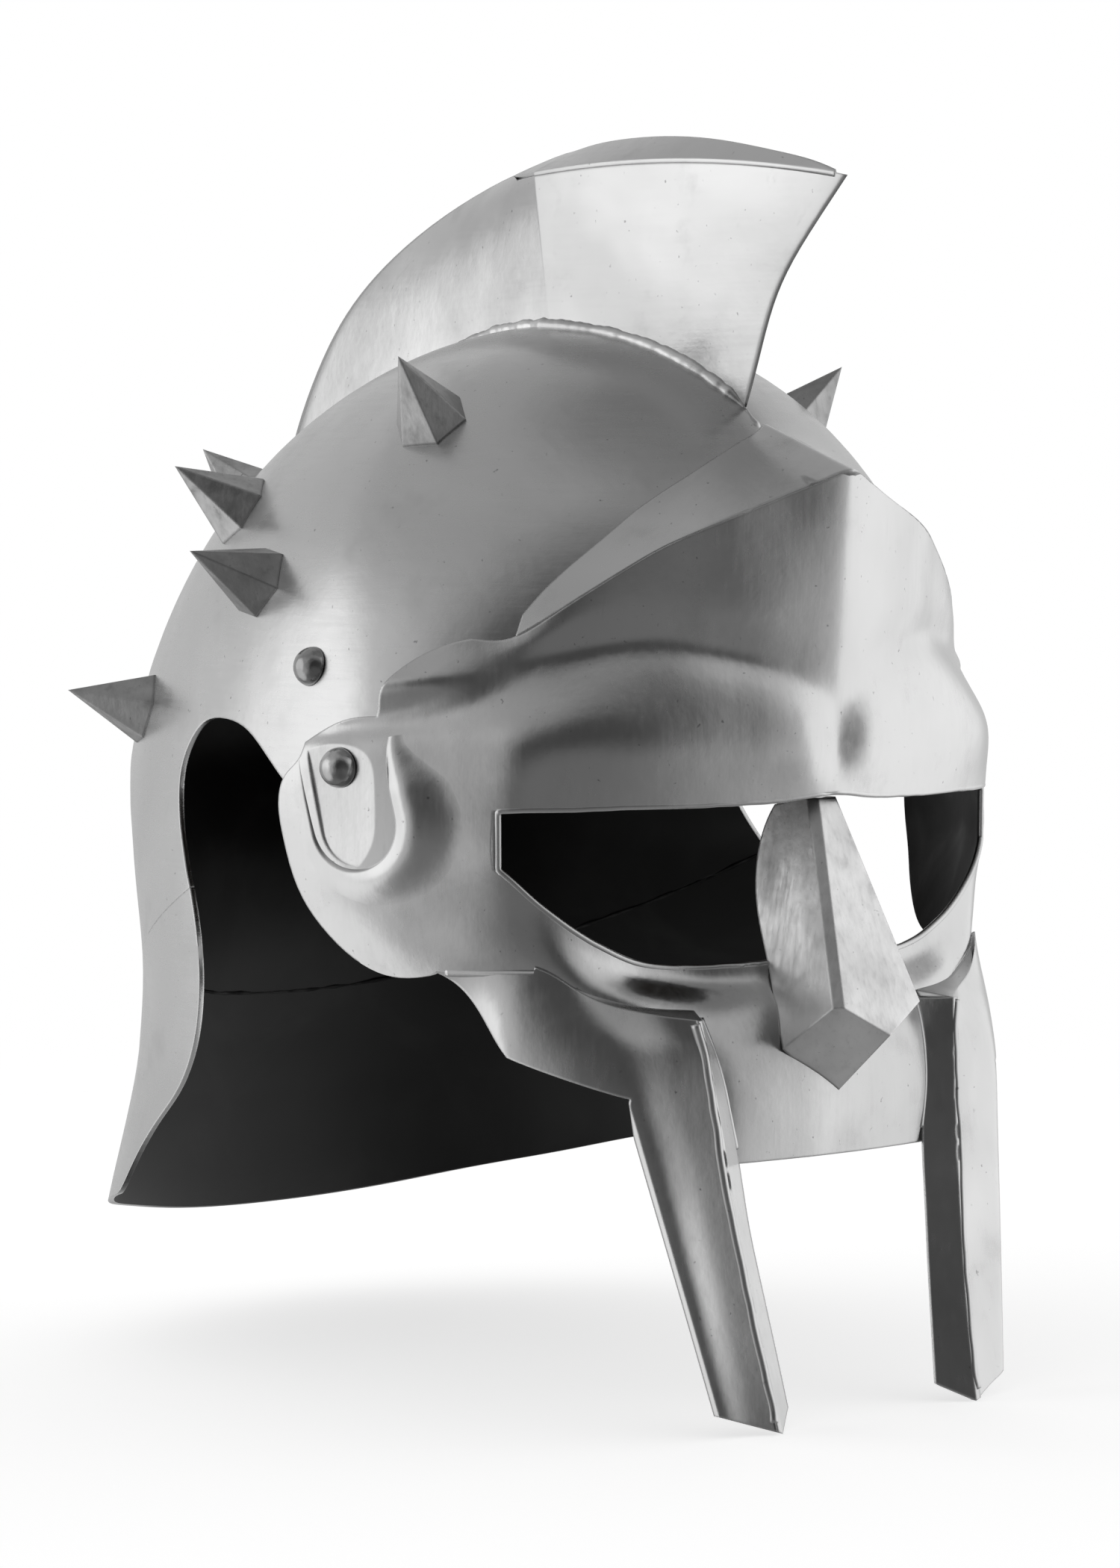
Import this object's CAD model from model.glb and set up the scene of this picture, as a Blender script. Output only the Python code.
import math

import bmesh
import bpy
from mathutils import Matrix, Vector, noise
from mathutils.bvhtree import BVHTree


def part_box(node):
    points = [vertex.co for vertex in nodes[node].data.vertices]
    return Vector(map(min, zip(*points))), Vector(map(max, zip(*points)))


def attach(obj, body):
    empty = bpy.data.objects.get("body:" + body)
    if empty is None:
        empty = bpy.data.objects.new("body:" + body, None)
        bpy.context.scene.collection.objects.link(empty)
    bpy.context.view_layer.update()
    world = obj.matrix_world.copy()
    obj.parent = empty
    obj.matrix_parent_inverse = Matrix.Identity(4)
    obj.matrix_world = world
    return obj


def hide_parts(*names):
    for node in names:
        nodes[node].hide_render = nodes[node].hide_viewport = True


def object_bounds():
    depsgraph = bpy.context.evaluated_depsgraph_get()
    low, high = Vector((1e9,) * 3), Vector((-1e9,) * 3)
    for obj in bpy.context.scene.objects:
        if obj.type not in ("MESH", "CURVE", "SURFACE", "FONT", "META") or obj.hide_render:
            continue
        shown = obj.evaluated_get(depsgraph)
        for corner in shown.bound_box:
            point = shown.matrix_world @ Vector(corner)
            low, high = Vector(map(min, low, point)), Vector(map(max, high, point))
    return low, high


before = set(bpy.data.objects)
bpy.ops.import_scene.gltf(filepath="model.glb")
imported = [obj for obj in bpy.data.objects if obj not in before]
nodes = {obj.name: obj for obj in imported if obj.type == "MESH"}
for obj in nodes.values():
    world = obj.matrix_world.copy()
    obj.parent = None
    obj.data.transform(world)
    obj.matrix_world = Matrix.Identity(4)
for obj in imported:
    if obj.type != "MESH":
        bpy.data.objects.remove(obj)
cad_low, cad_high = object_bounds()

# ---------------------------------------------------------------- helmet landmarks, in metres
SHELL_AXIS_Y = 0.055        # upright axis that runs through the middle of the bowl
DOME_CENTRE_Z = 0.020       # the bowl is a dome above this height and a wall below it

# ---------------------------------------------------------------- node helpers


class Shader:
    """Small wrapper that adds and links nodes of one material or world."""

    def __init__(self, tree):
        self.tree = tree
        tree.nodes.clear()

    def add(self, kind, settings=None, **inputs):
        item = self.tree.nodes.new(kind)
        for key, value in (settings or {}).items():
            setattr(item, key, value)
        for key, value in inputs.items():
            self.feed(item.inputs[key.replace("_", " ")], value)
        return item

    def feed(self, socket, value):
        if isinstance(value, bpy.types.NodeSocket):
            self.tree.links.new(value, socket)
        elif socket.type == "RGBA" and not hasattr(value, "__len__"):
            socket.default_value = (value, value, value, 1)
        elif socket.type == "RGBA" and len(value) == 3:
            socket.default_value = (*value, 1)
        else:
            socket.default_value = value

    def math(self, operation, a, b=0.0, clamp=False):
        item = self.tree.nodes.new("ShaderNodeMath")
        item.operation = operation
        item.use_clamp = clamp
        self.feed(item.inputs[0], a)
        self.feed(item.inputs[1], b)
        return item.outputs[0]

    def vector(self, operation, a, b):
        item = self.tree.nodes.new("ShaderNodeVectorMath")
        item.operation = operation
        self.feed(item.inputs[0], a)
        self.feed(item.inputs[1], b)
        return item.outputs["Value"] if operation == "DOT_PRODUCT" else item.outputs["Vector"]

    def span(self, value, low, high, to_low=0.0, to_high=1.0):
        """Smooth step of value from low..high to to_low..to_high."""
        item = self.tree.nodes.new("ShaderNodeMapRange")
        item.interpolation_type = "SMOOTHSTEP"
        for index, number in enumerate((value, low, high, to_low, to_high)):
            self.feed(item.inputs[index], number)
        return item.outputs[0]

    def mix(self, factor, a, b, kind="RGBA"):
        item = self.tree.nodes.new("ShaderNodeMix")
        item.data_type = kind
        self.feed(item.inputs["Factor" if kind != "RGBA" else 0], factor)
        pick = {"FLOAT": (2, 3), "RGBA": (6, 7)}[kind]
        self.feed(item.inputs[pick[0]], a)
        self.feed(item.inputs[pick[1]], b)
        return item.outputs[{"FLOAT": 0, "RGBA": 2}[kind]]

    def noise(self, place, scale, detail=3.0, roughness=0.5, distortion=0.0):
        item = self.add(
            "ShaderNodeTexNoise",
            Vector=place,
            Scale=scale,
            Detail=detail,
            Roughness=roughness,
            Distortion=distortion,
        )
        return item.outputs["Fac"]

    def stretched(self, place, scale, turn=(0, 0, 0)):
        item = self.add("ShaderNodeMapping", Vector=place, Scale=scale, Rotation=turn)
        return item.outputs["Vector"]


def new_material(name):
    material = bpy.data.materials.new(name)
    material.use_nodes = True
    return material, Shader(material.node_tree)


def inside_factor(shader, place):
    """1 on faces that look at the wearer's head, 0 on faces that look out."""
    geometry = shader.add("ShaderNodeNewGeometry")
    turned = shader.add(
        "ShaderNodeVectorTransform",
        {"vector_type": "NORMAL", "convert_from": "WORLD", "convert_to": "OBJECT"},
        Vector=geometry.outputs["True Normal"],
    )
    split = shader.add("ShaderNodeSeparateXYZ", Vector=place)
    rise = shader.math("MAXIMUM", shader.math("SUBTRACT", split.outputs["Z"], DOME_CENTRE_Z), 0.0)
    depth = shader.math("SUBTRACT", split.outputs["Y"], SHELL_AXIS_Y)
    outward = shader.add("ShaderNodeCombineXYZ", X=split.outputs["X"], Y=depth, Z=rise)
    unit = shader.add("ShaderNodeVectorMath", {"operation": "NORMALIZE"})
    shader.feed(unit.inputs[0], outward.outputs[0])
    facing = shader.vector("DOT_PRODUCT", unit.outputs["Vector"], turned.outputs["Vector"])
    return shader.span(facing, -0.20, -0.45)


SEAM_HEIGHT = -0.0537       # ground weld between the visor's face and its cheek plates
SEAM_FRONT = -0.0455


def seam_free(shader, place):
    """0 on the ground weld below the temples, 1 everywhere else."""
    split = shader.add("ShaderNodeSeparateXYZ", Vector=place)
    off = shader.math("ABSOLUTE", shader.math("SUBTRACT", split.outputs["Z"], SEAM_HEIGHT))
    level = shader.span(off, 0.0012, 0.0022)
    front = shader.span(split.outputs["Y"], SEAM_FRONT + 0.001, SEAM_FRONT)
    return shader.math("MAXIMUM", level, front)


def steel(
    name, tone, rough, mottle=9.0, grain=(60, 60, 900), grind=0.0, soot=0.25, worn=0.35, inner=None
):
    """Bare satin-polished steel: soft cloudy tone, brush lines, fine pits and worn bright edges.

    inner is the tone of the unpolished inside, as light, dark and metallic share."""
    material, shader = new_material(name)
    place = shader.add("ShaderNodeTexCoord").outputs["Object"]
    cloud = shader.noise(place, mottle, detail=3, distortion=0.6)
    haze = shader.noise(place, mottle * 5, detail=5, roughness=0.55)
    brush = shader.noise(shader.stretched(place, grain), 1.0, detail=4, roughness=0.6)
    cross_place = shader.stretched(place, (900, 70, 70), (0.5, 0.3, 0.9))
    scratch = shader.noise(cross_place, 1.0, detail=3, roughness=0.7)
    pits = shader.noise(place, 620, detail=2)
    light, dark = tone
    base = shader.mix(shader.span(cloud, 0.32, 0.68), (dark,) * 3, (light,) * 3)
    base = shader.mix(shader.span(haze, 0.55, 0.80, 0.0, soot), base, (dark * 0.55,) * 3)
    base = shader.mix(shader.span(scratch, 0.62, 0.80, 0.0, 0.18), base, (dark * 0.7,) * 3)
    base = shader.mix(shader.span(brush, 0.55, 0.80, 0.0, 0.5 * grind), base, (dark * 0.4,) * 3)
    base = shader.mix(shader.span(pits, 0.70, 0.80, 0.0, 0.6), base, (dark * 0.3,) * 3)
    bevel_radius = shader.math("MULTIPLY", seam_free(shader, place), 0.0009)
    bevel = shader.add("ShaderNodeBevel", {"samples": 6}, Radius=bevel_radius)
    geometry = shader.add("ShaderNodeNewGeometry")
    flat = shader.vector("DOT_PRODUCT", bevel.outputs[0], geometry.outputs["Normal"])
    edge = shader.span(flat, 0.985, 0.88, 0.0, worn)
    base = shader.mix(edge, base, (min(1.0, light * 1.3),) * 3)
    smooth, coarse = rough
    gloss = shader.span(haze, 0.25, 0.75, smooth, coarse)
    gloss = shader.math("ADD", gloss, shader.span(brush, 0.35, 0.75, 0.0, 0.05 + 0.10 * grind))
    metallic = 1.0
    if inner:
        inner_light, inner_dark, inner_metal = inner
        hidden = inside_factor(shader, place)
        smear = shader.noise(place, 22, detail=4, distortion=1.0)
        scale = shader.mix(shader.span(smear, 0.42, 0.78), (inner_dark,) * 3, (inner_light,) * 3)
        base = shader.mix(hidden, base, scale)
        gloss = shader.mix(hidden, gloss, 0.55, "FLOAT")
        metallic = shader.mix(hidden, 1.0, inner_metal, "FLOAT")
    bump = shader.add("ShaderNodeBump", Strength=0.06 + 0.30 * grind, Distance=0.0002, Height=brush)
    shader.feed(bump.inputs["Normal"], bevel.outputs[0])
    dents = shader.add("ShaderNodeBump", Strength=0.30, Distance=0.0006, Height=haze)
    shader.feed(dents.inputs["Normal"], bump.outputs[0])
    body = shader.add(
        "ShaderNodeBsdfPrincipled",
        Base_Color=base,
        Metallic=metallic,
        Roughness=gloss,
        Normal=dents.outputs[0],
        Anisotropic=0.25,
    )
    out = shader.add("ShaderNodeOutputMaterial")
    shader.feed(out.inputs["Surface"], body.outputs[0])
    return material


def leather(name, colour):
    """Dark vegetable-tanned leather: pebbled grain, creases and a dull sheen."""
    material, shader = new_material(name)
    place = shader.add("ShaderNodeTexCoord").outputs["Object"]
    grain = shader.add("ShaderNodeTexVoronoi", {"feature": "DISTANCE_TO_EDGE"}, Vector=place, Scale=700.0)
    crease = shader.noise(place, 90, detail=6, roughness=0.65, distortion=1.5)
    patch = shader.noise(place, 18, detail=3)
    deep = tuple(channel * 0.45 for channel in colour)
    base = shader.mix(shader.span(patch, 0.3, 0.7), deep, colour)
    base = shader.mix(shader.span(crease, 0.60, 0.72, 0.0, 0.5), base, tuple(c * 0.3 for c in colour))
    pebble = shader.span(grain.outputs["Distance"], 0.0, 0.12)
    height = shader.math("ADD", shader.math("MULTIPLY", pebble, 0.5), crease)
    bump = shader.add("ShaderNodeBump", Strength=0.55, Distance=0.0004, Height=height)
    body = shader.add(
        "ShaderNodeBsdfPrincipled",
        Base_Color=base,
        Roughness=shader.span(crease, 0.3, 0.7, 0.48, 0.72),
        Normal=bump.outputs[0],
    )
    body.inputs["Sheen Weight"].default_value = 0.12
    out = shader.add("ShaderNodeOutputMaterial")
    shader.feed(out.inputs["Surface"], body.outputs[0])
    return material


def cord(name, colour):
    """Waxed cord with fine fibres that run along the strands."""
    material, shader = new_material(name)
    place = shader.add("ShaderNodeTexCoord").outputs["Object"]
    fibre = shader.noise(shader.stretched(place, (2500, 2500, 600)), 1.0, detail=3)
    base = shader.mix(shader.span(fibre, 0.35, 0.7), tuple(c * 0.5 for c in colour), colour)
    bump = shader.add("ShaderNodeBump", Strength=0.5, Distance=0.0002, Height=fibre)
    body = shader.add(
        "ShaderNodeBsdfPrincipled", Base_Color=base, Roughness=0.65, Normal=bump.outputs[0]
    )
    out = shader.add("ShaderNodeOutputMaterial")
    shader.feed(out.inputs["Surface"], body.outputs[0])
    return material


UPRIGHT = (700, 700, 45)     # brush lines that run up and down
LEVEL = (60, 60, 900)        # brush lines that run round the helmet
BOWL = steel("bowl_steel_look", (0.64, 0.55), (0.20, 0.30), mottle=9, grain=LEVEL, inner=(0.016, 0.003, 0.0))
CREST = steel("crest_steel_look", (0.66, 0.50), (0.13, 0.24), mottle=13, grain=LEVEL)
VISOR = steel(
    "visor_steel_look", (0.64, 0.54), (0.17, 0.26), mottle=11, grain=UPRIGHT, inner=(0.22, 0.04, 0.9)
)
NOSE = steel("nose_steel_look", (0.82, 0.60), (0.26, 0.40), mottle=20, grain=UPRIGHT, grind=0.35, soot=0.4)
SPIKE = steel("spike_steel_look", (0.44, 0.30), (0.26, 0.42), mottle=40, grain=UPRIGHT, grind=0.4, soot=0.5)
RIVET = steel("rivet_steel_look", (0.58, 0.30), (0.08, 0.16), mottle=60, soot=0.4, worn=0.1)
WELD = steel("weld_steel_look", (0.72, 0.54), (0.24, 0.36), mottle=30, grind=0.1, soot=0.3)
INNER_WELD = steel("inner_weld_look", (0.075, 0.025), (0.55, 0.75), mottle=60, worn=0.0)
LEATHER = leather("liner_leather_look", (0.085, 0.055, 0.038))
CORD = cord("lace_cord_look", (0.10, 0.075, 0.055))
THREAD = cord("stitch_thread_look", (0.30, 0.26, 0.20))

LOOKS = {
    "bowl_steel": BOWL,
    "crest_steel": CREST,
    "visor_steel": VISOR,
    "nose_steel": NOSE,
    "spike_steel": SPIKE,
    "rivet_steel": RIVET,
    "liner_leather": LEATHER,
    "lace_cord": CORD,
}
for item in nodes.values():
    for material_slot in item.material_slots:
        material_slot.material = LOOKS[material_slot.material.name.split(".")[0]]

# ---------------------------------------------------------------- mesh helpers


def tree_of(name):
    """Search tree of a CAD node's surface."""
    mesh = nodes[name].data
    return BVHTree.FromPolygons(
        [vertex.co for vertex in mesh.vertices],
        [polygon.vertices for polygon in mesh.polygons],
    )


def new_piece(name, mesh, material, body):
    item = bpy.data.objects.new(name, mesh)
    bpy.context.scene.collection.objects.link(item)
    mesh.materials.clear()
    mesh.materials.append(material)
    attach(item, body)
    return item


def tube(points, radii, sides, name):
    """Closed-ended tube through the points, one radius a point."""
    shape = bmesh.new()
    rings = []
    side_axis = None
    for index, point in enumerate(points):
        ahead = points[min(index + 1, len(points) - 1)]
        behind = points[max(index - 1, 0)]
        along = (ahead - behind).normalized()
        if side_axis is None:
            side_axis = along.orthogonal().normalized()
        side_axis = (side_axis - along * side_axis.dot(along)).normalized()
        up_axis = along.cross(side_axis)
        ring = []
        for step in range(sides):
            angle = 2 * math.pi * step / sides
            offset = side_axis * math.cos(angle) + up_axis * math.sin(angle)
            ring.append(shape.verts.new(point + offset * radii[index]))
        rings.append(ring)
    for first, second in zip(rings, rings[1:]):
        for step in range(sides):
            after = (step + 1) % sides
            shape.faces.new((first[step], first[after], second[after], second[step]))
    shape.faces.new(tuple(reversed(rings[0])))
    shape.faces.new(tuple(rings[-1]))
    bmesh.ops.recalc_face_normals(shape, faces=shape.faces)
    mesh = bpy.data.meshes.new(name)
    shape.to_mesh(mesh)
    shape.free()
    mesh.shade_smooth()
    return mesh


def resample(points, step):
    """Points at an even step along a polyline."""
    result = [points[0].copy()]
    left = step
    for start, end in zip(points, points[1:]):
        length = (end - start).length
        while length >= left > 0:
            start = start + (end - start) * (left / length)
            result.append(start.copy())
            length -= left
            left = step
        left -= length
    return result


def eased(points, rounds):
    """Evens out a polyline, ends kept."""
    for _ in range(rounds):
        middle = [
            (before + here * 2 + after) / 4
            for before, here, after in zip(points, points[1:], points[2:])
        ]
        points = [points[0], *middle, points[-1]]
    return points


# ---------------------------------------------------------------- weld beads
BEAD_STEP = 0.0007
BEAD_RIPPLE = 0.0034        # length of one weld ripple along the bead
RIPPLE_SHARE = 0.03         # of the bead's radius
WANDER_SCALE = 190          # how quickly the bead's width changes along it
BEAD_SIDES = 10
TAPER_POINTS = 12           # a bead's ends fade out over this many points


def bead(name, path, radius, material, body, lumps=0.30):
    """Weld bead, faintly rippled and uneven in width, with tapered ends."""
    points = resample(eased(path, 3), BEAD_STEP)
    radii = []
    for index, point in enumerate(points):
        ripple = RIPPLE_SHARE * math.sin(2 * math.pi * index * BEAD_STEP / BEAD_RIPPLE)
        wander = lumps * noise.noise(point * WANDER_SCALE)
        end = min(1.0, (min(index, len(points) - 1 - index) + 2) / TAPER_POINTS)
        radii.append(radius * (1 + ripple + wander) * end)
    return new_piece(name, tube(points, radii, BEAD_SIDES, name), material, body)


def contact_path(name, other_tree, reach, bins, outer):
    """Where one node's mesh touches another, ordered by angle around the bowl's side-to-side axis."""
    best = {}
    for vertex in nodes[name].data.vertices:
        point = vertex.co
        found = other_tree.find_nearest(point, reach)
        if found[0] is None:
            continue
        angle = math.atan2(point.z - DOME_CENTRE_Z, point.y - SHELL_AXIS_Y)
        key = round(angle / (2 * math.pi) * bins)
        if key not in best or outer(point) > outer(best[key]):
            best[key] = point.copy()
    return [best[key] for key in sorted(best)]


def ring_contact(name, other_tree, reach, bins):
    """Where a node's mesh touches another, on the inner side, ordered by angle around the upright axis."""
    best = {}
    for vertex in nodes[name].data.vertices:
        point = vertex.co
        if other_tree.find_nearest(point, reach)[0] is None:
            continue
        outward = Vector((point.x, point.y - SHELL_AXIS_Y, 0))
        key = round(math.atan2(outward.x, outward.y) / (2 * math.pi) * bins)
        if key not in best or outward.length < best[key][0]:
            best[key] = (outward.length, point.copy())
    return [best[key][1] for key in sorted(best)]


bowl_tree = tree_of("skull_bowl")
CONTACT_REACH = 0.0006
CREST_WELD_RADIUS = 0.0022
GUARD_WELD_RADIUS = 0.0006
TOE_WELD_RADIUS = 0.0026
CREST_BINS, GUARD_BINS = 220, 200       # steps round a full turn
for side in ("right", "left"):
    foot = contact_path(
        f"crest_{side}_plate", bowl_tree, CONTACT_REACH, CREST_BINS, lambda point: abs(point.x)
    )
    bead(f"crest_weld_{side}", foot, CREST_WELD_RADIUS, WELD, "shell", lumps=0.35)

guard_seam = ring_contact("neck_guard", bowl_tree, CONTACT_REACH, GUARD_BINS)
bead("guard_weld", guard_seam, GUARD_WELD_RADIUS, INNER_WELD, "shell", lumps=0.6)

# weld that runs down the bowl from the front foot of the crest
TOE_FALL = 0.011            # how far down it runs
TOE_LEAN = 0.55             # how far forward it runs for each unit down
TOE_STEPS = 8
crest_front = [vertex.co for vertex in nodes["crest_right_plate"].data.vertices if vertex.co.y < 0]
crest_low = min(crest_front, key=lambda point: point.z)
toe = []
for step in range(TOE_STEPS + 1):
    fall = TOE_FALL * step / TOE_STEPS
    toe.append(bowl_tree.find_nearest(Vector((0, crest_low.y - TOE_LEAN * fall, crest_low.z - fall)))[0])
bead("crest_toe_weld", toe, TOE_WELD_RADIUS, WELD, "shell", lumps=0.7)

# ---------------------------------------------------------------- rolled lips of the visor
face_tree = tree_of("visor_face")
LIP_RADIUS = 0.00095
LIP_INSET = 0.0008          # the lip's centre lies in the middle of the sheet
SCAN_STEP = 0.0002
EYE_LEVEL = -0.0165         # a height inside the eye opening
EYE_TOP, EYE_BOTTOM = 0.0, -0.062       # heights that lie above and below the opening
EYE_TURN = 66.6             # degrees from straight ahead to the opening's outer ends
EYE_STEPS = 200
OUTSIDE = 0.2               # distance from the centre that is outside the whole helmet
RAY_REACH = 0.17            # and how far a ray from there looks inward


def rim_point(angle, start, stop):
    """First place on the visor met when going from start to stop in height, in one direction."""
    direction = Vector((math.sin(angle), -math.cos(angle), 0))
    count = round(abs(stop - start) / SCAN_STEP)
    for index in range(count):
        height = start + (stop - start) * index / count
        hit = face_tree.ray_cast(Vector((0, 0, height)) + direction * OUTSIDE, -direction, RAY_REACH)
        if hit[0] is not None:
            return hit[0] - direction * LIP_INSET
    return None


def rim(stop):
    """Upper or lower rim of the eye opening, from the wearer's right to the left."""
    angles = [math.radians(-EYE_TURN + 2 * EYE_TURN * k / EYE_STEPS) for k in range(EYE_STEPS + 1)]
    points = [rim_point(angle, EYE_LEVEL, stop) for angle in angles]
    return eased([point for point in points if point], 4)


eye_line = rim(EYE_TOP) + list(reversed(rim(EYE_BOTTOM)))
eye_line = resample(eye_line + [eye_line[0], eye_line[1]], 0.001)
eye_lip = tube(eye_line, [LIP_RADIUS] * len(eye_line), 12, "eye_lip")
new_piece("eye_lip", eye_lip, VISOR, "visor")

# ---------------------------------------------------------------- rolled edge of the pivot pockets
POCKET_CENTRE = (-0.0046, -0.0150)      # y and z of the round end
POCKET_RADIUS = 0.0128
POCKET_LEAN = math.radians(13)
POCKET_ARM = 0.021                      # straight stretch above the round end
FLOOR_SAMPLE = -0.004                   # places on the floor, from the round end's centre
ROLL_HEIGHT = 0.0011                    # of the pushed-up edge above the pocket's floor
ROLL_LIFT = 0.0004                      # and at least this much above the visor's own surface
ROLL_SINK = 0.0006                      # how far the edge's inner rim is sunk below the floor
ROLL_TUCK = 0.00008                     # how far its outer rim is tucked under the visor
MERGE_START = 0.35                      # share of the outer side after which it faces as the visor does
ROLL_INNER = 0.0013                     # width of the edge's inner, steep side
ROLL_SLOPE = 4.5                        # run of the outer side for each unit it drops
ROLL_MARGIN = 0.004                     # and this much more
ROLL_FADE = 0.016                       # length over which an arm of the edge dies away
STATIONS, STEPS = 96, 24


def side_hit(side, y, z):
    """Where the visor is met from the side, and the direction it faces, or None beside it."""
    hit = face_tree.ray_cast(Vector((side * OUTSIDE, y, z)), Vector((-side, 0, 0)), RAY_REACH)
    return None if hit[0] is None else (abs(hit[0].x), hit[1])


def surface_x(side, y, z):
    """How far out the visor stands at a place in the side view, or None beside it."""
    found = side_hit(side, y, z)
    return None if found is None else found[0]


def pocket_place(run, rise):
    """y and z of a place in the pocket's own leaning frame."""
    y = POCKET_CENTRE[0] + run * math.cos(POCKET_LEAN) + rise * math.sin(POCKET_LEAN)
    z = POCKET_CENTRE[1] - run * math.sin(POCKET_LEAN) + rise * math.cos(POCKET_LEAN)
    return y, z


def pocket_floor(side):
    """Function that gives the height of the pocket's flat floor at a place in the side view."""
    first = pocket_place(0, FLOOR_SAMPLE)
    second = pocket_place(FLOOR_SAMPLE, FLOOR_SAMPLE)
    first_x, second_x = surface_x(side, *first), surface_x(side, *second)
    slope = (second_x - first_x) / (second[0] - first[0])
    return lambda y: first_x + slope * (y - first[0])


def pocket_edge(word, side):
    """Pushed-up edge round the pocket, easing down on to the visor's own surface."""
    floor_x = pocket_floor(side)
    arm, turn = POCKET_ARM, math.pi * POCKET_RADIUS
    total = 2 * arm + turn
    shape = bmesh.new()
    grid, merges = [], []
    for station in range(STATIONS + 1):
        along = total * station / STATIONS
        if along < arm:
            run, rise, out_run, out_rise = -POCKET_RADIUS, arm - along, -1.0, 0.0
        elif along < arm + turn:
            angle = math.pi * (along - arm) / turn
            out_run, out_rise = -math.cos(angle), -math.sin(angle)
            run, rise = out_run * POCKET_RADIUS, out_rise * POCKET_RADIUS
        else:
            run, rise, out_run, out_rise = POCKET_RADIUS, along - arm - turn, 1.0, 0.0
        fade = min(1.0, along / ROLL_FADE, (total - along) / ROLL_FADE)
        fade = fade * fade * (3 - 2 * fade)
        y, z = pocket_place(run, rise)
        ground = surface_x(side, y, z)
        if ground is None:
            continue
        crest = max(floor_x(y) + ROLL_HEIGHT, ground + ROLL_LIFT)
        crest = ground + (crest - ground) * fade
        width = ROLL_MARGIN + ROLL_SLOPE * (crest - ground)
        row = []
        for step in range(STEPS + 1):
            share = step / STEPS
            reach = -ROLL_INNER + (width + ROLL_INNER) * share
            y, z = pocket_place(run + out_run * reach, rise + out_rise * reach)
            found = side_hit(side, y, z)
            here = found[0] if found else ground
            merge = 0.0
            if reach < 0:
                drop = (reach / ROLL_INNER) ** 2
                level = crest - (crest - min(floor_x(y), crest) + ROLL_SINK) * drop
            else:
                ease = min(1.0, reach / width)
                ease = ease ** 3 * (10 - 15 * ease + 6 * ease * ease)
                level = crest + (here - ROLL_TUCK - crest) * ease
                merge = max(0.0, (reach / width - MERGE_START) / (1 - MERGE_START))
            row.append(shape.verts.new((side * level, y, z)))
            merges.append((merge, found[1] if found else Vector((side, 0, 0))))
        grid.append(row)
    for first, second in zip(grid, grid[1:]):
        for step in range(STEPS):
            face = (first[step], first[step + 1], second[step + 1], second[step])
            shape.faces.new(face if side > 0 else tuple(reversed(face)))
    bmesh.ops.recalc_face_normals(shape, faces=shape.faces)
    if sum(face.normal.x * side for face in shape.faces) < 0:
        bmesh.ops.reverse_faces(shape, faces=shape.faces)
    mesh = bpy.data.meshes.new(f"pocket_edge_{word}")
    shape.to_mesh(mesh)
    shape.free()
    mesh.shade_smooth()
    own = [vertex.normal.copy() for vertex in mesh.vertices]
    shared = [
        (facing * (1 - merge) + ground_facing * merge).normalized()
        for facing, (merge, ground_facing) in zip(own, merges)
    ]
    mesh.normals_split_custom_set_from_vertices(shared)
    new_piece(f"pocket_edge_{word}", mesh, VISOR, "visor")


pocket_edge("right", -1)
pocket_edge("left", 1)

# ---------------------------------------------------------------- soft front corner of each bar
CORNER_RADIUS = 0.0014
CORNER_SUNK = 0.0011        # the corner's round lies this far behind the bar's own sharp edge
CORNER_TOP, CORNER_FOOT = -0.0668, -0.1722
CORNER_SPAN = (0.026, 0.052)        # where the corner is looked for, from the centre plane
CORNER_SCAN = 130
CORNER_STEP = 0.0015
MOUTH_FOOT = -0.1020                # lower corner of the mouth plate, where its weld ends
MOUTH_WELD_RADIUS = 0.0013


def bar_hits(bar_tree, side, height):
    """Places on the bar's front and return at one height, from the centre plane outward."""
    hits = []
    for k in range(CORNER_SCAN):
        x = CORNER_SPAN[0] + (CORNER_SPAN[1] - CORNER_SPAN[0]) * k / CORNER_SCAN
        hit = bar_tree.ray_cast(Vector((side * x, -OUTSIDE, height)), Vector((0, 1, 0)))
        if hit[0] is not None:
            hits.append(hit[0])
    return hits


def bar_round(name, word, side, foot, radius, pick):
    """Rounded edge down a bar, through the place that pick chooses at each height."""
    bar_tree = tree_of(f"cheek_plate_{word}")
    line = []
    height = CORNER_TOP
    while height > foot:
        line.append(pick(bar_hits(bar_tree, side, height)) + Vector((0, CORNER_SUNK, 0)))
        height -= CORNER_STEP
    points = resample(eased(line, 8), 0.001)
    mesh = tube(points, [radius] * len(points), 14, name)
    new_piece(name, mesh, VISOR, "visor")


def front_most(hits):
    return min(hits, key=lambda point: point.y)


def inner_most(hits):
    return hits[0]


SIDES = (("right", -1), ("left", 1))
for word, side in SIDES:
    bar_round(f"bar_corner_{word}", word, side, CORNER_FOOT, CORNER_RADIUS, front_most)
    bar_round(f"mouth_weld_{word}", word, side, MOUTH_FOOT, MOUTH_WELD_RADIUS, inner_most)

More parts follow.
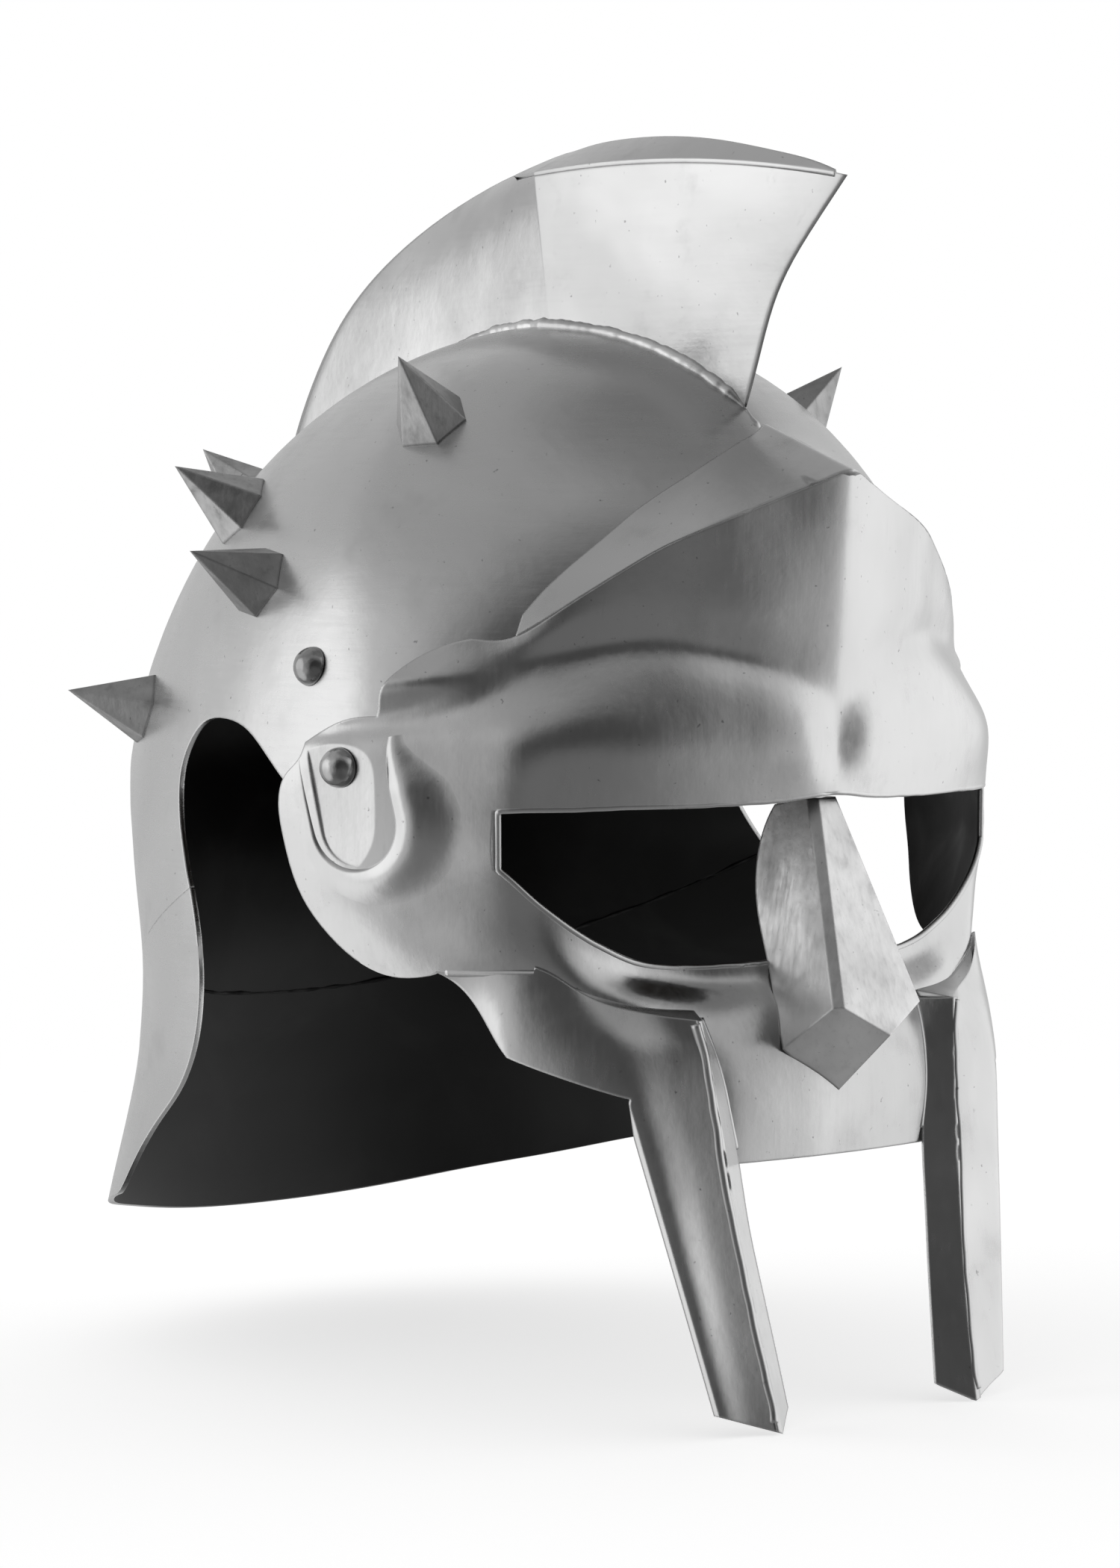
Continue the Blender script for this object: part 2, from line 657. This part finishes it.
# ground weld between the visor's face and each cheek plate
SEAM_WELD_RADIUS = 0.0012
SEAM_WELD_SUNK = 0.75       # share of the radius that lies under the plates
SEAM_REAR = -0.0215
SEAM_GAP = 0.0006           # above and below the seam, where the two plates are measured
SEAM_STEPS = 19
for word, side in SIDES:
    cheek_tree = tree_of(f"cheek_plate_{word}")
    inward = Vector((-side, 0, 0))
    line = []
    for k in range(SEAM_STEPS + 1):
        y = SEAM_FRONT + (SEAM_REAR - SEAM_FRONT) * k / SEAM_STEPS
        start = Vector((side * OUTSIDE, y, SEAM_HEIGHT))
        above = face_tree.ray_cast(start + Vector((0, 0, SEAM_GAP)), inward, RAY_REACH)
        below = cheek_tree.ray_cast(start - Vector((0, 0, SEAM_GAP)), inward, RAY_REACH)
        if above[0] is not None and below[0] is not None:
            middle = (above[0] + below[0]) / 2
            line.append(middle + inward * SEAM_WELD_RADIUS * SEAM_WELD_SUNK)
    points = resample(eased(line, 3), 0.001)
    mesh = tube(points, [SEAM_WELD_RADIUS] * len(points), 12, word)
    new_piece(f"cheek_weld_{word}", mesh, VISOR, "visor")

# ---------------------------------------------------------------- leather liner
LEATHER_VOXEL = 0.0010
crease_field = bpy.data.textures.new("leather_creases", "CLOUDS")
crease_field.noise_scale = 0.012


def leather_piece(cad_name, name):
    """Leather copy of a CAD strip, with rounded cut edges and a softly uneven face."""
    shape = bmesh.new()
    shape.from_mesh(nodes[cad_name].data)
    bmesh.ops.remove_doubles(shape, verts=shape.verts, dist=2e-5)
    raw = bpy.data.meshes.new(name + "_raw")
    shape.to_mesh(raw)
    shape.free()
    carrier = bpy.data.objects.new(name + "_raw", raw)
    bpy.context.scene.collection.objects.link(carrier)
    remesh = carrier.modifiers.new("even", "REMESH")
    remesh.mode = "VOXEL"
    remesh.voxel_size = LEATHER_VOXEL
    soften = carrier.modifiers.new("soften", "SMOOTH")
    soften.factor = 0.5
    soften.iterations = 3
    dents = carrier.modifiers.new("creases", "DISPLACE")
    dents.texture = crease_field
    dents.texture_coords = "LOCAL"
    dents.strength = 0.0006
    dents.mid_level = 0.6
    graph = bpy.context.evaluated_depsgraph_get()
    mesh = bpy.data.meshes.new_from_object(carrier.evaluated_get(graph))
    mesh.name = name
    bpy.data.objects.remove(carrier)
    mesh.shade_smooth()
    piece = new_piece(name, mesh, LEATHER, "shell")
    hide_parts(cad_name)
    return piece


liner_nodes = sorted(n for n in nodes if n == "liner_band" or n.startswith("liner_leaf"))
soft_band = None
for cad_name in liner_nodes:
    piece = leather_piece(cad_name, cad_name.replace("liner", "leather"))
    if cad_name == "liner_band":
        soft_band = piece

STITCH_LENGTH = 0.0030
STITCH_PITCH = 0.0048
STITCH_RADIUS = 0.00045
STITCH_INSET = 0.0032


def stitch_row(name, surface, height):
    """Row of stitches on the inner face of the liner band, at one height."""
    tree = BVHTree.FromPolygons(
        [vertex.co for vertex in surface.data.vertices],
        [polygon.vertices for polygon in surface.data.polygons],
    )
    centre = Vector((0, SHELL_AXIS_Y, height))
    path = []
    for degree in range(0, 361, 2):
        angle = math.radians(degree)
        hit = tree.ray_cast(centre, Vector((math.sin(angle), math.cos(angle), 0)))
        if hit[0] is not None:
            path.append(hit[0] - Vector((math.sin(angle), math.cos(angle), 0)) * 0.0001)
    shape = bmesh.new()
    spots = resample(path, STITCH_PITCH)
    for here, after in zip(spots, spots[1:]):
        along = (after - here).normalized()
        turn = Vector((0, 0, 1)).rotation_difference(along)
        made = bmesh.ops.create_uvsphere(shape, u_segments=6, v_segments=6, radius=1.0)["verts"]
        for vertex in made:
            local = Vector((
                vertex.co.x * STITCH_RADIUS,
                vertex.co.y * STITCH_RADIUS,
                vertex.co.z * STITCH_LENGTH / 2,
            ))
            vertex.co = here + turn @ local
    mesh = bpy.data.meshes.new(name)
    shape.to_mesh(mesh)
    shape.free()
    mesh.shade_smooth()
    return new_piece(name, mesh, THREAD, "shell")


band_low, band_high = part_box("liner_band")
stitch_row("liner_stitches_low", soft_band, band_low.z + STITCH_INSET)
stitch_row("liner_stitches_high", soft_band, band_high.z - STITCH_INSET)

# ---------------------------------------------------------------- lace
LACE_STRANDS = 3
LACE_TWIST = 0.0052         # length of one full turn of the strands
LACE_BINS = 240             # steps round the whole lace


def lace_centre():
    """Centre line of the CAD lace, as points ordered around it."""
    vertices = [vertex.co for vertex in nodes["liner_lace"].data.vertices]
    middle = sum(vertices, Vector()) / len(vertices)
    groups = {}
    for point in vertices:
        angle = math.atan2(point.y - middle.y, point.x - middle.x)
        groups.setdefault(round(angle / (2 * math.pi) * LACE_BINS), []).append(point)
    return [sum(group, Vector()) / len(group) for _, group in sorted(groups.items())]


LACE_RADIUS = 0.0012
LACE_STEP = 0.0005
STRAND_OFFSET, STRAND_RADIUS = 0.48, 0.55       # shares of the lace's radius
core = resample(eased(lace_centre(), 2), LACE_STEP)
shape = bmesh.new()
for strand in range(LACE_STRANDS):
    line = []
    side_axis = Vector((0, 0, 1))
    for index, point in enumerate(core):
        along = (core[min(index + 1, len(core) - 1)] - core[max(index - 1, 0)]).normalized()
        side_axis = (side_axis - along * side_axis.dot(along)).normalized()
        angle = 2 * math.pi * (index * LACE_STEP / LACE_TWIST + strand / LACE_STRANDS)
        offset = side_axis * math.cos(angle) + along.cross(side_axis) * math.sin(angle)
        line.append(point + offset * LACE_RADIUS * STRAND_OFFSET)
    strand_mesh = tube(line, [LACE_RADIUS * STRAND_RADIUS] * len(line), 7, f"strand_{strand}")
    shape.from_mesh(strand_mesh)
lace_mesh = bpy.data.meshes.new("lace")
shape.to_mesh(lace_mesh)
shape.free()
lace_mesh.shade_smooth()
lace = new_piece("lace", lace_mesh, CORD, "shell")
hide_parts("liner_lace")

# ---------------------------------------------------------------- floor
FLOOR_DROP = 0.0004
FLOOR_REACH = 0.9
floor_shape = bmesh.new()
bmesh.ops.create_circle(floor_shape, cap_ends=True, segments=96, radius=FLOOR_REACH)
floor_mesh = bpy.data.meshes.new("floor")
floor_shape.to_mesh(floor_mesh)
floor_shape.free()
floor = bpy.data.objects.new("floor", floor_mesh)
bpy.context.scene.collection.objects.link(floor)
floor.location = (0, SHELL_AXIS_Y, cad_low.z - FLOOR_DROP)
floor.visible_glossy = False
floor.visible_diffuse = False
floor_look, shader = new_material("floor_look")
place = shader.add("ShaderNodeTexCoord").outputs["Object"]
distance = shader.add("ShaderNodeVectorMath", {"operation": "LENGTH"})
shader.feed(distance.inputs[0], place)
fade = shader.span(distance.outputs["Value"], FLOOR_REACH * 0.25, FLOOR_REACH * 0.95)
matte = shader.add("ShaderNodeBsdfDiffuse", Color=(0.80, 0.80, 0.80))
glow = shader.add("ShaderNodeEmission", Color=(1, 1, 1), Strength=0.62)
both = shader.add("ShaderNodeAddShader")
shader.feed(both.inputs[0], matte.outputs[0])
shader.feed(both.inputs[1], glow.outputs[0])
clear = shader.add("ShaderNodeBsdfTransparent")
blend = shader.add("ShaderNodeMixShader", Fac=fade)
shader.feed(blend.inputs[1], both.outputs[0])
shader.feed(blend.inputs[2], clear.outputs[0])
out = shader.add("ShaderNodeOutputMaterial")
shader.feed(out.inputs["Surface"], blend.outputs[0])
floor_mesh.materials.append(floor_look)

# ---------------------------------------------------------------- camera
VIEW_AZIMUTH = -40.571
VIEW_ELEVATION = 3.379
camera_data = bpy.data.cameras.new("camera")
camera_data.lens = 111.43
camera_data.sensor_width = 36
camera_data.clip_start = 0.05
camera_data.clip_end = 50
camera = bpy.data.objects.new("camera", camera_data)
camera.location = (-0.9007, -1.0110, 0.0713)
camera.rotation_euler = (math.radians(90 - VIEW_ELEVATION), 0, math.radians(VIEW_AZIMUTH))
bpy.context.scene.collection.objects.link(camera)
bpy.context.scene.camera = camera

# ---------------------------------------------------------------- studio light
# The studio is a plain grey room with soft cards in it. Each card is azimuth, elevation,
# half-width and softness in degrees, and the brightness it has. A later card covers an
# earlier one. Azimuth 0 is in front of the helmet, 90 on the wearer's left.
ROOM_LIGHT = 0.66
CARDS = (
    (-40, 90, 36, 24, 0.46),     # dim ceiling
    (60, 72, 16, 18, 0.24),      # dark gap in the ceiling
    (60, -90, 45, 30, 0.34),     # dim ground
    (-128, 4, 24, 10, 1.38),     # soft box on the wearer's right
    (-130, -30, 20, 14, 1.15),   # its lower half
    (70, 4, 28, 18, 1.20),       # soft box on the wearer's left
    (-28, 8, 28, 32, 0.08),      # dark gap around the camera
    (-28, -34, 20, 32, 0.20),    # dark ground in front
)
world = bpy.data.worlds.new("studio")
bpy.context.scene.world = world
world.use_nodes = True
shader = Shader(world.node_tree)
direction = shader.add("ShaderNodeTexCoord").outputs["Generated"]
light = shader.math("ADD", ROOM_LIGHT, 0.0)
for azimuth, elevation, width, softness, brightness in CARDS:
    a, e = math.radians(azimuth), math.radians(elevation)
    towards = (math.sin(a) * math.cos(e), -math.cos(a) * math.cos(e), math.sin(e))
    facing = shader.vector("DOT_PRODUCT", direction, towards)
    angle = shader.math("ARCCOSINE", facing)
    cover = shader.span(angle, math.radians(width + softness), math.radians(width))
    light = shader.mix(cover, light, brightness, "FLOAT")
studio = shader.add("ShaderNodeBackground", Color=light, Strength=1.0)
white = shader.add("ShaderNodeBackground", Color=(1, 1, 1), Strength=1.0)
path_info = shader.add("ShaderNodeLightPath")
choice = shader.add("ShaderNodeMixShader", Fac=path_info.outputs["Is Camera Ray"])
shader.feed(choice.inputs[1], studio.outputs[0])
shader.feed(choice.inputs[2], white.outputs[0])
out = shader.add("ShaderNodeOutputWorld")
shader.feed(out.inputs["Surface"], choice.outputs[0])
bpy.context.scene.view_settings.view_transform = "Standard"
